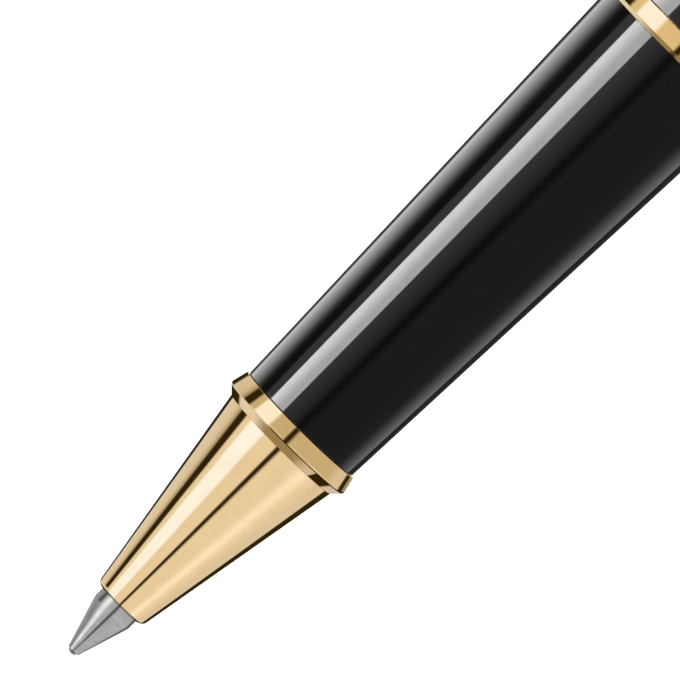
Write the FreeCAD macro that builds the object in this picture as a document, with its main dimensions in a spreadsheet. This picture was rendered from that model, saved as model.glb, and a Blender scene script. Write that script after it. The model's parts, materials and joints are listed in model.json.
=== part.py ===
import FreeCAD, Part
import math
import os
import Sketcher

# A capped rollerball pen standing on its writing point, with its cap posted on its tail.
# Lengths are in millimetres. The pen's axis is Z, the ball's lowest point is the origin, and the
# clip faces -Y. Each piece is drawn from its own front face and then placed along the axis.
# Stations, whose names end in _at, are heights above the writing point.

SIZES = {
    "ball_radius": (0.35, "writing ball"),
    "socket_gap": (0.012, "play between the ball and its socket"),
    "lip_height": (0.18, "height of the rim that holds the ball in"),
    "lip_radius": (0.37, "outer radius of that rim"),
    "tip_cone_top": (3.13, "height where the tip's cone meets its cylinder"),
    "tip_radius": (1.275, "cylinder of the refill's tip"),
    "tip_shoulder": (7.0, "height where the tip's cylinder ends"),
    "tip_stem_radius": (1.0, "stem pressed into the refill's nose"),
    "tip_stem_length": (4.0, "length of that stem"),
    "ink_channel_radius": (0.14, "channel behind the ball"),
    "ink_channel_top": (2.2, "height where the channel widens for the wick"),
    "wick_radius": (0.5, "feed rod from the reservoir to the ball"),
    "wick_length": (22.0, "length of the feed rod"),
    "wick_gap": (0.05, "play around the feed rod"),
    "refill_nose_radius": (2.6, "refill's plastic nose"),
    "refill_nose_cone": (6.4, "length of the nose's tapered front"),
    "refill_stop_at": (21.0, "station of the shoulder that stops the refill"),
    "refill_flange": (1.0, "thickness of that shoulder"),
    "refill_spigot": (4.0, "length of the nose inside the tube"),
    "refill_radius": (3.05, "refill's tube"),
    "refill_bore": (2.65, "inside of the tube"),
    "refill_tube_length": (86.0, "length of the tube"),
    "reservoir_gap": (0.05, "play around the fibre reservoir"),
    "reservoir_length": (76.0, "length of the reservoir"),
    "plug_length": (2.5, "refill's end plug behind the tube"),
    "plug_chamfer": (0.4, "bevel on the plug's rear edge"),
    "nose_at": (3.75, "front of the nose cone"),
    "nose_front_radius": (1.67, "nose cone's radius at its mouth"),
    "nose_rear_radius": (3.785, "nose cone's radius at its base"),
    "nose_length": (12.31, "length of the visible cone"),
    "nose_mouth_round": (0.38, "rounding of the cone's mouth"),
    "nose_bore": (1.325, "hole the refill's tip comes through"),
    "nose_bore_length": (3.5, "length of that hole"),
    "nose_cavity": (2.75, "inside of the cone behind its taper"),
    "nose_cavity_taper": (6.2, "length of the tapered inside"),
    "nose_spigot_radius": (3.2, "spigot that carries the snap ring and the section"),
    "snap_ring_length": (1.51, "snap ring, bevel and band"),
    "snap_bevel": (0.51, "length of its bevelled front"),
    "snap_radius": (4.29, "its widest radius"),
    "snap_rear_radius": (4.045, "its radius at the rear"),
    "snap_round": (0.18, "rounding of its widest edge"),
    "section_front_radius": (3.915, "grip section behind the snap ring"),
    "section_rear_radius": (4.994, "grip section in front of the joint ring"),
    "section_length": (28.53, "visible length of the grip section"),
    "section_bore": (3.15, "bore around the refill"),
    "section_socket": (4.0, "rear socket for the threaded sleeve"),
    "section_socket_depth": (10.1, "depth of that socket"),
    "joint_ring_length": (1.27, "ring between section and barrel"),
    "joint_ring_bevel": (0.23, "its bevelled front"),
    "joint_gap": (0.05, "line between the ring and the barrel"),
    "barrel_radius": (5.5, "barrel and joint ring"),
    "thread_pitch": (1.0, "barrel thread"),
    "thread_turns": (6.0, "turns of the barrel thread"),
    "thread_core": (3.9, "sleeve under the thread"),
    "thread_depth": (0.45, "height of the thread"),
    "thread_crest": (0.15, "width of the thread's crest"),
    "thread_flank": (0.577, "run of a flank for each unit of its height"),
    "thread_gap": (0.09, "play between the two threads"),
    "thread_start": (1.3, "first turn, behind the joint ring"),
    "sleeve_tail": (1.0, "plain end of the sleeve behind its thread"),
    "insert_setback": (0.6, "threaded insert behind the barrel's mouth"),
    "insert_length": (9.0, "length of the insert"),
    "insert_radius": (4.9, "outside of the insert"),
    "barrel_bore": (3.3, "bore around the refill"),
    "barrel_relief": (3.0, "clearance behind the insert"),
    "barrel_relief_radius": (4.2, "its radius"),
    "barrel_straight": (18.6, "cylindrical front of the barrel"),
    "barrel_length": (64.6, "visible length of the barrel"),
    "barrel_tail_radius": (4.6, "barrel at the tail ring"),
    "barrel_swell": (1176.0, "radius of the barrel's long curve"),
    "tail_socket": (3.9, "socket in the barrel for the tail cap"),
    "tail_socket_depth": (7.0, "its depth"),
    "tail_ring_length": (0.9, "ring in front of the tail cap"),
    "tail_ring_radius": (4.72, "its radius"),
    "tail_length": (8.0, "visible length of the tail cap"),
    "tail_radius": (4.5, "tail cap at the ring"),
    "tail_shoulder": (2.2, "height where the tail's dome begins"),
    "tail_flat": (1.2, "radius of the dome's blunt end"),
    "tail_dome": (6.2, "radius of the dome's curve"),
    "tail_bore": (3.2, "pocket for the spring and the refill's end"),
    "tail_bore_rest": (5.3, "depth of that pocket above the tail ring"),
    "spring_radius": (2.4, "spring, to the middle of its wire"),
    "spring_wire": (0.22, "radius of the wire"),
    "spring_turns": (5.0, "turns of the spring"),
    "spring_gap": (0.04, "play at each end of the spring"),
    "cap_at": (97.5, "mouth of the posted cap"),
    "cap_bore": (5.12, "inside of the cap"),
    "cap_lip_length": (1.5, "lip ring"),
    "cap_lip_radius": (6.2, "its radius"),
    "cap_shell_length": (50.5, "resin shell of the cap"),
    "cap_top_radius": (6.0, "shell at the clip ring"),
    "cap_swell": (900.0, "radius of the cap's long curve"),
    "cap_top_wall": (1.0, "end wall of the shell"),
    "band_from_mouth": (3.2, "cap band, measured from the lip ring"),
    "band_width": (4.6, "width of the cap band"),
    "band_seat": (5.85, "seat of the band in the shell"),
    "band_radius": (6.42, "outside of the band"),
    "liner_from_mouth": (26.0, "cap liner, measured from the cap's mouth"),
    "liner_length": (23.0, "length of the liner"),
    "liner_bore": (4.55, "inside of the liner"),
    "liner_end_wall": (1.0, "end wall of the liner"),
    "liner_bead_at": (1.3, "snap bead, behind the liner's mouth"),
    "liner_bead_width": (1.0, "width of the bead"),
    "liner_bead_radius": (4.12, "inside of the bead"),
    "liner_slot_width": (0.8, "slots that let the bead flex"),
    "liner_slot_depth": (6.0, "their length"),
    "liner_slots": (4.0, "how many there are"),
    "clip_ring_length": (2.0, "ring that carries the clip"),
    "clip_ring_radius": (6.15, "its radius"),
    "stud_radius": (1.6, "screw through the top of the cap"),
    "stud_reach": (4.5, "its length inside the crown"),
    "stud_head_radius": (3.5, "its head, inside the cap"),
    "stud_head_length": (2.0, "length of the head"),
    "crown_length": (8.0, "crown above the clip ring"),
    "crown_radius": (5.85, "crown at the clip ring"),
    "crown_shoulder": (2.6, "height where the crown's dome begins"),
    "crown_dome": (8.2, "radius of the dome's curve"),
    "inlay_radius": (2.4, "disc let into the crown"),
    "inlay_depth": (0.6, "depth of its seat"),
    "inlay_rise": (0.25, "how far the disc is domed"),
    "pivot_offset": (6.95, "clip's pivot from the axis"),
    "pivot_height": (1.0, "clip's pivot above the ring's front"),
    "knuckle_radius": (0.62, "root of the clip"),
    "knuckle_gap": (0.06, "play around the root"),
    "knuckle_width": (2.2, "width of the root"),
    "lug_width": (3.6, "width of the ring's lug"),
    "lug_reach": (7.75, "outer face of the lug"),
    "clip_length": (37.0, "clip from its pivot to its end"),
    "clip_top": (1.15, "top of the arm below its pivot"),
    "clip_thickness": (0.75, "thickness of the arm"),
    "clip_offset": (7.3, "inner face of the arm near its root"),
    "clip_width_top": (3.4, "width of the arm near its root"),
    "clip_width_end": (2.0, "width of the arm at its end"),
    "clip_foot_radius": (6.53, "clip's foot from the axis"),
    "clip_foot_from_end": (2.6, "foot, measured from the clip's end"),
    "clip_waist_from_end": (7.8, "where the arm leans away, measured from the clip's end"),
    "clip_toe": (0.7, "how far the clip's end turns outward"),
    "clip_waist": (0.35, "how far the arm leans away above its foot"),
    "edge_round": (0.08, "rounding of the fine edges"),
    "lip_round": (0.35, "rounding of the cap's lip"),
}


class Size:
    """A length that knows its value and the sheet expression that gives it."""

    def __init__(self, value, text):
        self.value = value
        self.text = text

    def join(self, other, sign, value):
        return Size(value, "(%s %s %s)" % (self.text, sign, other.text))

    def __add__(self, other):
        other = size_of(other)
        return self.join(other, "+", self.value + other.value)

    def __sub__(self, other):
        other = size_of(other)
        return self.join(other, "-", self.value - other.value)

    def __mul__(self, other):
        other = size_of(other)
        return self.join(other, "*", self.value * other.value)

    def __truediv__(self, other):
        other = size_of(other)
        return self.join(other, "/", self.value / other.value)


def size_of(length):
    """Let plain numbers stand beside sizes."""
    return length if isinstance(length, Size) else Size(float(length), repr(float(length)))


def other_leg(hypotenuse, leg):
    """The second leg of a right triangle."""
    value = math.sqrt(hypotenuse.value**2 - leg.value**2)
    return Size(value, "sqrt(%s ^ 2 - %s ^ 2)" % (hypotenuse.text, leg.text))


class Sheet:
    """Every size by its name, as an attribute."""

    def __init__(self, document):
        cells = document.addObject("Spreadsheet::Sheet", "Sizes")
        for row, (name, (value, meaning)) in enumerate(SIZES.items(), start=1):
            cells.set("A%d" % row, meaning)
            cells.set("B%d" % row, str(value))
            cells.setAlias("B%d" % row, name)
            setattr(self, name, Size(value, "Sizes." + name))


document = FreeCAD.newDocument("Pen")
size = Sheet(document)
document.recompute()

ZERO = size_of(0)
FULL_TURN = 360.0
NEAR = 1e-4
CLIP_SIDE = FreeCAD.Rotation(FreeCAD.Vector(0, 0, 1), -90)

# Stations and radii that several pieces share.
snap_at = size.nose_at + size.nose_length
section_at = snap_at + size.snap_ring_length
joint_at = section_at + size.section_length
joint_rear = joint_at + size.joint_ring_length
barrel_at = joint_rear + size.joint_gap
tail_ring_at = barrel_at + size.barrel_length
tail_at = tail_ring_at + size.tail_ring_length
tube_at = size.refill_stop_at + size.refill_flange
plug_at = tube_at + size.refill_tube_length
spring_at = plug_at + size.plug_length
cap_shell_at = size.cap_at + size.cap_lip_length
liner_at = size.cap_at + size.liner_from_mouth
clip_ring_at = cap_shell_at + size.cap_shell_length
crown_at = clip_ring_at + size.clip_ring_length


def piece(label, station):
    """An empty body whose own origin is on the pen's axis at the given station."""
    body = document.addObject("PartDesign::Body", label)
    body.Label = label
    body.setExpression("Placement.Base.z", station.text)
    return body


def origin_plane(body, role):
    return next(plane for plane in body.Origin.OriginFeatures if plane.Role == role)


def pin_coordinate(sketch, kind, segment, end, length):
    """Fix one coordinate of a corner, on an axis where it is zero."""
    axis = -2 if kind == "DistanceX" else -1
    if length.value == 0:
        sketch.addConstraint(Sketcher.Constraint("PointOnObject", segment, end, axis))
        return
    index = sketch.addConstraint(Sketcher.Constraint(kind, -1, 1, segment, end, length.value))
    sketch.setExpression("Constraints[%d]" % index, length.text)


def arc_between(start, end, radius):
    """The shorter arc of the given radius, curving left for a positive radius."""
    chord = end - start
    reach = math.sqrt(radius * radius - chord.Length * chord.Length / 4)
    left = FreeCAD.Vector(-chord.y, chord.x, 0).normalize()
    centre = (start + end) * 0.5 + left * math.copysign(reach, radius)
    first, last = (start, end) if radius > 0 else (end, start)
    angles = [math.atan2(point.y - centre.y, point.x - centre.x) for point in (first, last)]
    circle = Part.Circle(centre, FreeCAD.Vector(0, 0, 1), abs(radius))
    return Part.ArcOfCircle(circle, angles[0], angles[1])


def outline(body, name, corners, plane="XZ_Plane"):
    """A closed sketch through corners (across, along[, radius of the arc to the next corner])."""
    sketch = body.newObject("Sketcher::SketchObject", name)
    sketch.AttachmentSupport = [(origin_plane(body, plane), "")]
    sketch.MapMode = "FlatFace"
    corners = [tuple(size_of(part) for part in corner) for corner in corners]
    points = [FreeCAD.Vector(corner[0].value, corner[1].value, 0) for corner in corners]
    starts = []
    for index, corner in enumerate(corners):
        here, there = points[index], points[(index + 1) % len(points)]
        curved = len(corner) > 2
        edge = arc_between(here, there, corner[2].value) if curved else Part.LineSegment(here, there)
        sketch.addGeometry(edge, False)
        starts.append(2 if curved and corner[2].value < 0 else 1)
    for index, corner in enumerate(corners):
        before = index - 1 if index else len(corners) - 1
        previous_end = 3 - starts[before]
        sketch.addConstraint(
            Sketcher.Constraint("Coincident", before, previous_end, index, starts[index])
        )
        pin_coordinate(sketch, "DistanceX", index, starts[index], corner[0])
        pin_coordinate(sketch, "DistanceY", index, starts[index], corner[1])
        if len(corner) > 2:
            radius = corner[2]
            bound = sketch.addConstraint(
                Sketcher.Constraint("Radius", index, abs(radius.value))
            )
            sketch.setExpression("Constraints[%d]" % bound, "abs(%s)" % radius.text)
    return sketch


def disc(body, name, across, along, radius):
    """A sketch of one circle."""
    sketch = body.newObject("Sketcher::SketchObject", name)
    sketch.AttachmentSupport = [(origin_plane(body, "XZ_Plane"), "")]
    sketch.MapMode = "FlatFace"
    centre = FreeCAD.Vector(across.value, along.value, 0)
    sketch.addGeometry(Part.Circle(centre, FreeCAD.Vector(0, 0, 1), radius.value), False)
    pin_coordinate(sketch, "DistanceX", 0, 3, across)
    pin_coordinate(sketch, "DistanceY", 0, 3, along)
    bound = sketch.addConstraint(Sketcher.Constraint("Radius", 0, radius.value))
    sketch.setExpression("Constraints[%d]" % bound, radius.text)
    return sketch


def turn(body, corners, name="Profile"):
    """Revolve an outline of (radius, height) corners about the pen's axis."""
    sketch = outline(body, name, corners)
    feature = body.newObject("PartDesign::Revolution", name + "Turned")
    feature.Profile = sketch
    feature.ReferenceAxis = (sketch, ["V_Axis"])
    feature.Angle = FULL_TURN
    sketch.Visibility = False
    return feature


def groove(body, corners, name):
    """Turn an outline away from the piece."""
    sketch = outline(body, name, corners)
    feature = body.newObject("PartDesign::Groove", name + "Cut")
    feature.Profile = sketch
    feature.ReferenceAxis = (sketch, ["V_Axis"])
    feature.Angle = FULL_TURN
    return feature


def helix(body, kind, sketch, pitch, turns):
    """Sweep a sketch along a right-handed helix about the pen's axis."""
    feature = body.newObject("PartDesign::" + kind, kind)
    feature.Profile = sketch
    feature.ReferenceAxis = (sketch, ["V_Axis"])
    feature.Mode = "pitch-turns-angle"
    feature.setExpression("Pitch", pitch.text)
    feature.setExpression("Turns", turns.text)
    feature.LeftHanded = False
    feature.Reversed = False
    return feature


def through(body, kind, sketch, width, name):
    """Pad or pocket a sketch by the same amount on both sides of its plane."""
    feature = body.newObject("PartDesign::" + kind, name)
    feature.Profile = sketch
    feature.Midplane = True
    feature.setExpression("Length", width.text)
    return feature


def circles_at(shape, places):
    """Names of the circular edges with the given (radius, height)."""
    names = []
    for index, edge in enumerate(shape.Edges, start=1):
        curve = edge.Curve
        if not isinstance(curve, Part.Circle):
            continue
        for radius, height in places:
            same_radius = abs(curve.Radius - size_of(radius).value) < NEAR
            if same_radius and abs(curve.Center.z - size_of(height).value) < NEAR:
                names.append("Edge%d" % index)
    return names


def soften(body, places, radius, name="Rounding"):
    """Round the circular edges at the given (radius, height) places."""
    document.recompute()
    base = body.Tip
    edges = circles_at(base.Shape, places)
    if len(edges) != len(places):
        raise RuntimeError("%s: found %d edges of %d" % (body.Label, len(edges), len(places)))
    feature = body.newObject("PartDesign::Fillet", name)
    feature.Base = (base, edges)
    feature.setExpression("Radius", radius.text)
    return feature


def tube(inner, outer, start, end):
    """Corners of a plain ring or tube."""
    return [(inner, start), (outer, start), (outer, end), (inner, end)]


# Refill


def refill_ball():
    body = piece("refill_ball", size.ball_radius)
    ball = body.newObject("PartDesign::AdditiveSphere", "Ball")
    ball.setExpression("Radius", size.ball_radius.text)


def refill_tip():
    """Steel tip: a spun lip round the ball, a long cone, a cylinder and a stem."""
    body = piece("refill_tip", ZERO)
    socket = size.ball_radius + size.socket_gap
    mouth = other_leg(socket, size.ball_radius - size.lip_height)
    rise = other_leg(socket, size.ink_channel_radius)
    stem_top = size.tip_shoulder + size.tip_stem_length
    wick_bore = size.wick_radius + size.wick_gap
    turn(
        body,
        [
            (mouth, size.lip_height),
            (size.lip_radius, size.lip_height),
            (size.tip_radius, size.tip_cone_top),
            (size.tip_radius, size.tip_shoulder),
            (size.tip_stem_radius, size.tip_shoulder),
            (size.tip_stem_radius, stem_top),
            (wick_bore, stem_top),
            (wick_bore, size.ink_channel_top),
            (size.ink_channel_radius, size.ink_channel_top),
            (size.ink_channel_radius, size.ball_radius + rise, socket * -1),
        ],
    )


def refill_nose():
    """Plastic nose that joins the steel tip to the tube and stops against the nose cone."""
    body = piece("refill_nose", size.tip_shoulder)
    stop = size.refill_stop_at - size.tip_shoulder
    flange_rear = stop + size.refill_flange
    rear = flange_rear + size.refill_spigot
    wick_bore = size.wick_radius + size.wick_gap
    turn(
        body,
        [
            (size.tip_stem_radius, ZERO),
            (size.tip_radius, ZERO),
            (size.refill_nose_radius, size.refill_nose_cone),
            (size.refill_nose_radius, stop),
            (size.refill_radius, stop),
            (size.refill_radius, flange_rear),
            (size.refill_bore, flange_rear),
            (size.refill_bore, rear),
            (wick_bore, rear),
            (wick_bore, size.tip_stem_length),
            (size.tip_stem_radius, size.tip_stem_length),
        ],
    )


def ink_wick():
    """Felt rod that carries ink from the reservoir to the ball."""
    body = piece("ink_wick", size.ink_channel_top + size.wick_gap)
    turn(body, [(ZERO, ZERO), (size.wick_radius, ZERO), (size.wick_radius, size.wick_length),
                (ZERO, size.wick_length)])


def refill_body():
    body = piece("refill_body", tube_at)
    turn(body, tube(size.refill_bore, size.refill_radius, ZERO, size.refill_tube_length))


def ink_reservoir():
    """Fibre rod that holds the ink."""
    body = piece("ink_reservoir", tube_at + size.refill_spigot + size.reservoir_gap)
    outer = size.refill_bore - size.reservoir_gap
    turn(body, [(ZERO, ZERO), (outer, ZERO), (outer, size.reservoir_length),
                (ZERO, size.reservoir_length)])


def refill_end_plug():
    body = piece("refill_end_plug", plug_at - size.refill_spigot)
    rear = size.refill_spigot + size.plug_length
    turn(
        body,
        [
            (ZERO, ZERO),
            (size.refill_bore, ZERO),
            (size.refill_bore, size.refill_spigot),
            (size.refill_radius, size.refill_spigot),
            (size.refill_radius, rear - size.plug_chamfer),
            (size.refill_radius - size.plug_chamfer, rear),
            (ZERO, rear),
        ],
    )


# Grip section


def nose_cone():
    """Polished cone; its rear spigot carries the snap ring and screws into the section."""
    body = piece("nose_cone", size.nose_at)
    spigot_end = size.refill_stop_at - size.nose_at
    taper_end = size.nose_bore_length + size.nose_cavity_taper
    turn(
        body,
        [
            (size.nose_bore, ZERO),
            (size.nose_front_radius, ZERO),
            (size.nose_rear_radius, size.nose_length),
            (size.nose_spigot_radius, size.nose_length),
            (size.nose_spigot_radius, spigot_end),
            (size.nose_cavity, spigot_end),
            (size.nose_cavity, taper_end),
            (size.nose_bore, size.nose_bore_length),
        ],
    )
    soften(body, [(size.nose_front_radius, ZERO)], size.nose_mouth_round)


def snap_ring():
    """Ring the cap's liner snaps over: a bevelled front and a band that falls away rearward."""
    body = piece("snap_ring", snap_at)
    turn(
        body,
        [
            (size.nose_spigot_radius, ZERO),
            (size.nose_rear_radius, ZERO),
            (size.snap_radius, size.snap_bevel),
            (size.snap_rear_radius, size.snap_ring_length),
            (size.nose_spigot_radius, size.snap_ring_length),
        ],
    )
    soften(body, [(size.snap_radius, size.snap_bevel)], size.snap_round)


def grip_section():
    body = piece("grip_section", section_at)
    spigot_end = size.refill_stop_at - section_at
    socket_floor = size.section_length - size.section_socket_depth
    turn(
        body,
        [
            (size.nose_spigot_radius, ZERO),
            (size.section_front_radius, ZERO),
            (size.section_rear_radius, size.section_length),
            (size.section_socket, size.section_length),
            (size.section_socket, socket_floor),
            (size.section_bore, socket_floor),
            (size.section_bore, spigot_end),
            (size.nose_spigot_radius, spigot_end),
        ],
    )
    soften(body, [(size.section_front_radius, ZERO)], size.edge_round)


def joint_ring():
    body = piece("joint_ring", joint_at)
    turn(
        body,
        [
            (size.section_socket, ZERO),
            (size.barrel_radius - size.joint_ring_bevel, ZERO),
            (size.barrel_radius, size.joint_ring_bevel),
            (size.barrel_radius, size.joint_ring_length),
            (size.section_socket, size.joint_ring_length),
        ],
    )
    soften(body, [(size.barrel_radius, size.joint_ring_length)], size.edge_round)


def thread_outline(body, name, root, crest, crest_width, root_height):
    """A trapezoid whose middle is half a pitch above its start."""
    half_crest = crest_width / 2
    half_root = half_crest + (crest - root) * size.thread_flank
    return outline(
        body,
        name,
        [
            (root, root_height - half_root),
            (crest, root_height - half_crest),
            (crest, root_height + half_crest),
            (root, root_height + half_root),
        ],
    )


def thread_sleeve():
    """Brass sleeve fixed in the section, with the male thread the barrel screws on to."""
    body = piece("thread_sleeve", joint_at - size.section_socket_depth)
    collar = size.section_socket_depth + size.joint_ring_length
    thread_end = collar + size.thread_start + size.thread_pitch * size.thread_turns
    end = thread_end + size.sleeve_tail
    turn(
        body,
        [
            (size.section_bore, ZERO),
            (size.section_socket, ZERO),
            (size.section_socket, collar),
            (size.thread_core, collar),
            (size.thread_core, end - size.edge_round),
            (size.thread_core - size.edge_round, end),
            (size.section_bore, end),
        ],
    )
    bury = size.edge_round
    ridge = thread_outline(
        body,
        "ThreadProfile",
        size.thread_core - bury,
        size.thread_core + size.thread_depth,
        size.thread_crest,
        collar + size.thread_start,
    )
    helix(body, "AdditiveHelix", ridge, size.thread_pitch, size.thread_turns)


# Barrel


def barrel_insert():
    """Brass bush pressed into the barrel, with the female thread."""
    body = piece("barrel_insert", barrel_at + size.insert_setback)
    bore = size.thread_core + size.thread_gap
    turn(body, tube(bore, size.insert_radius, ZERO, size.insert_length))
    ridge_start = joint_rear + size.thread_start - barrel_at - size.insert_setback
    overrun = 2
    cutter = thread_outline(
        body,
        "ThreadProfile",
        bore - size.edge_round,
        bore + size.thread_depth,
        size.thread_crest + size.thread_gap * 2,
        ridge_start - size.thread_pitch * overrun,
    )
    helix(body, "SubtractiveHelix", cutter, size.thread_pitch,
          size.insert_length / size.thread_pitch + 2 * overrun)


def barrel():
    """Resin barrel: cylindrical behind the joint, then a long curve down to the tail."""
    body = piece("barrel", barrel_at)
    insert_end = size.insert_setback + size.insert_length
    relief_end = insert_end + size.barrel_relief
    socket_floor = size.barrel_length - size.tail_socket_depth
    turn(
        body,
        [
            (size.insert_radius, ZERO),
            (size.barrel_radius, ZERO),
            (size.barrel_radius, size.barrel_straight, size.barrel_swell),
            (size.barrel_tail_radius, size.barrel_length),
            (size.tail_socket, size.barrel_length),
            (size.tail_socket, socket_floor),
            (size.barrel_bore, socket_floor),
            (size.barrel_bore, relief_end),
            (size.barrel_relief_radius, relief_end),
            (size.barrel_relief_radius, insert_end),
            (size.insert_radius, insert_end),
        ],
    )
    soften(body, [(size.barrel_radius, ZERO)], size.edge_round)


def tail_ring():
    body = piece("tail_ring", tail_ring_at)
    turn(body, tube(size.tail_socket, size.tail_ring_radius, ZERO, size.tail_ring_length))
    edges = [(size.tail_ring_radius, ZERO), (size.tail_ring_radius, size.tail_ring_length)]
    soften(body, edges, size.edge_round * 2)


def tail_cap():
    """Domed end of the barrel; its spigot is fixed in the barrel and its pocket holds the spring."""
    body = piece("tail_cap", tail_ring_at - size.tail_socket_depth)
    base = size.tail_socket_depth + size.tail_ring_length
    turn(
        body,
        [
            (size.tail_bore, ZERO),
            (size.tail_socket, ZERO),
            (size.tail_socket, base),
            (size.tail_radius, base),
            (size.tail_radius, base + size.tail_shoulder, size.tail_dome),
            (size.tail_flat, base + size.tail_length),
            (ZERO, base + size.tail_length),
            (ZERO, base + size.tail_bore_rest),
            (size.tail_bore, base + size.tail_bore_rest),
        ],
    )


def refill_spring():
    """Small spring that presses the refill against its stop."""
    body = piece("refill_spring", spring_at)
    room = tail_at + size.tail_bore_rest - spring_at
    start = size.spring_wire + size.spring_gap
    coil = disc(body, "WireSection", size.spring_radius, start, size.spring_wire)
    free_height = room - start * 2
    helix(body, "AdditiveHelix", coil, free_height / size.spring_turns, size.spring_turns)


# Cap


def cap_lip_ring():
    body = piece("cap_lip_ring", size.cap_at)
    turn(body, tube(size.cap_bore, size.cap_lip_radius, ZERO, size.cap_lip_length))
    soften(body, [(size.cap_lip_radius, ZERO)], size.lip_round)


def cap_shell():
    """Resin tube of the cap, closed at the top, with a seat for the band."""
    body = piece("cap_shell", cap_shell_at)
    inner_end = size.cap_shell_length - size.cap_top_wall
    turn(
        body,
        [
            (size.cap_bore, ZERO),
            (size.cap_lip_radius, ZERO, size.cap_swell),
            (size.cap_top_radius, size.cap_shell_length),
            (size.stud_radius, size.cap_shell_length),
            (size.stud_radius, inner_end),
            (size.cap_bore, inner_end),
        ],
    )
    beyond = size.cap_lip_radius + size.cap_top_wall
    seat_end = size.band_from_mouth + size.band_width
    groove(body, tube(size.band_seat, beyond, size.band_from_mouth, seat_end), "BandSeat")


def cap_band():
    body = piece("cap_band", cap_shell_at + size.band_from_mouth)
    turn(body, tube(size.band_seat, size.band_radius, ZERO, size.band_width))
    edges = [(size.band_radius, ZERO), (size.band_radius, size.band_width)]
    soften(body, edges, size.edge_round)


def cap_liner():
    """Inner sleeve that seals the tip; its slotted mouth snaps behind the snap ring."""
    body = piece("cap_liner", liner_at)
    bead_end = size.liner_bead_at + size.liner_bead_width
    floor = size.liner_length - size.liner_end_wall
    ramp = size.liner_bore - size.liner_bead_radius
    turn(
        body,
        [
            (size.liner_bore, ZERO),
            (size.cap_bore, ZERO),
            (size.cap_bore, size.liner_length),
            (ZERO, size.liner_length),
            (ZERO, floor),
            (size.liner_bore, floor),
            (size.liner_bore, bead_end + ramp),
            (size.liner_bead_radius, bead_end),
            (size.liner_bead_radius, size.liner_bead_at),
            (size.liner_bore, size.liner_bead_at - ramp),
        ],
    )
    slot = outline(
        body,
        "SlotProfile",
        [
            (size.liner_bead_radius - size.liner_slot_width, ZERO),
            (size.cap_bore + size.liner_slot_width, ZERO),
            (size.cap_bore + size.liner_slot_width, size.liner_slot_depth),
            (size.liner_bead_radius - size.liner_slot_width, size.liner_slot_depth),
        ],
    )
    cut = through(body, "Pocket", slot, size.liner_slot_width, "Slot")
    document.recompute()
    pattern = body.newObject("PartDesign::PolarPattern", "Slots")
    pattern.Originals = [cut]
    pattern.Axis = (slot, ["V_Axis"])
    pattern.Angle = FULL_TURN
    pattern.setExpression("Occurrences", size.liner_slots.text)
    body.Tip = pattern


def clip_ring():
    """Ring under the crown, with a forked lug that holds the clip's root."""
    body = piece("clip_ring", clip_ring_at)
    body.Placement.Rotation = CLIP_SIDE
    turn(body, tube(size.stud_radius, size.clip_ring_radius, ZERO, size.clip_ring_length))
    lug = outline(
        body,
        "LugProfile",
        tube(size.clip_ring_radius - size.lip_round, size.lug_reach, ZERO, size.clip_ring_length),
    )
    through(body, "Pad", lug, size.lug_width, "Lug")
    seat = size.knuckle_radius + size.knuckle_gap
    fork_width = size.knuckle_width + size.knuckle_gap * 2
    knuckle = disc(body, "SeatProfile", size.pivot_offset, size.pivot_height, seat)
    through(body, "Pocket", knuckle, fork_width, "Seat")
    beyond = size.lug_reach + size.clip_thickness
    above = size.pivot_height + seat
    below = ZERO - size.clip_thickness
    mouth = outline(
        body,
        "MouthProfile",
        [
            (size.pivot_offset, below),
            (beyond, below),
            (beyond, above),
            (size.pivot_offset, above),
        ],
    )
    through(body, "Pocket", mouth, fork_width, "Mouth")


def clip():
    """Sprung clip: a round root, a tapering arm along the cap and a foot that bears on it."""
    body = piece("clip", clip_ring_at + size.pivot_height - size.clip_length)
    body.Placement.Rotation = CLIP_SIDE
    pivot = size.clip_length
    arm_top = pivot - size.clip_top
    foot = size.clip_foot_from_end
    waist = size.clip_waist_from_end
    inner = size.clip_offset
    outer = inner + size.clip_thickness
    foot_outer = size.clip_foot_radius + size.clip_thickness
    side = outline(
        body,
        "SideProfile",
        [
            (inner, arm_top),
            (size.clip_foot_radius + size.clip_waist, waist),
            (size.clip_foot_radius, foot),
            (size.clip_foot_radius + size.clip_toe, ZERO),
            (foot_outer + size.clip_toe, ZERO),
            (foot_outer, foot),
            (foot_outer + size.clip_waist, waist),
            (outer, arm_top),
        ],
    )
    through(body, "Pad", side, size.clip_width_top, "Arm")
    half_end = size.clip_width_end / 2
    half_top = size.clip_width_top / 2
    beyond = half_top + size.clip_thickness
    taper = outline(
        body,
        "TaperProfile",
        [(half_end, ZERO), (beyond, ZERO), (beyond, arm_top), (half_top, arm_top)],
        "YZ_Plane",
    )
    cut = body.newObject("PartDesign::Pocket", "Taper")
    cut.Profile = taper
    cut.Midplane = True
    past_both_faces = outer * 3
    cut.setExpression("Length", past_both_faces.text)
    document.recompute()
    mirror = body.newObject("PartDesign::Mirrored", "BothSides")
    mirror.Originals = [cut]
    mirror.MirrorPlane = (origin_plane(body, "XZ_Plane"), [""])
    body.Tip = mirror
    neck = outline(
        body,
        "NeckProfile",
        [
            (size.pivot_offset, pivot + size.knuckle_radius),
            (size.pivot_offset, pivot - size.knuckle_radius),
            (inner, arm_top),
            (inner, arm_top - size.clip_thickness),
            (outer, arm_top - size.clip_thickness),
            (outer, arm_top),
            (outer - size.edge_round, pivot),
        ],
    )
    through(body, "Pad", neck, size.knuckle_width, "Neck")
    knuckle = disc(body, "RootProfile", size.pivot_offset, pivot, size.knuckle_radius)
    through(body, "Pad", knuckle, size.knuckle_width, "Root")


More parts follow.
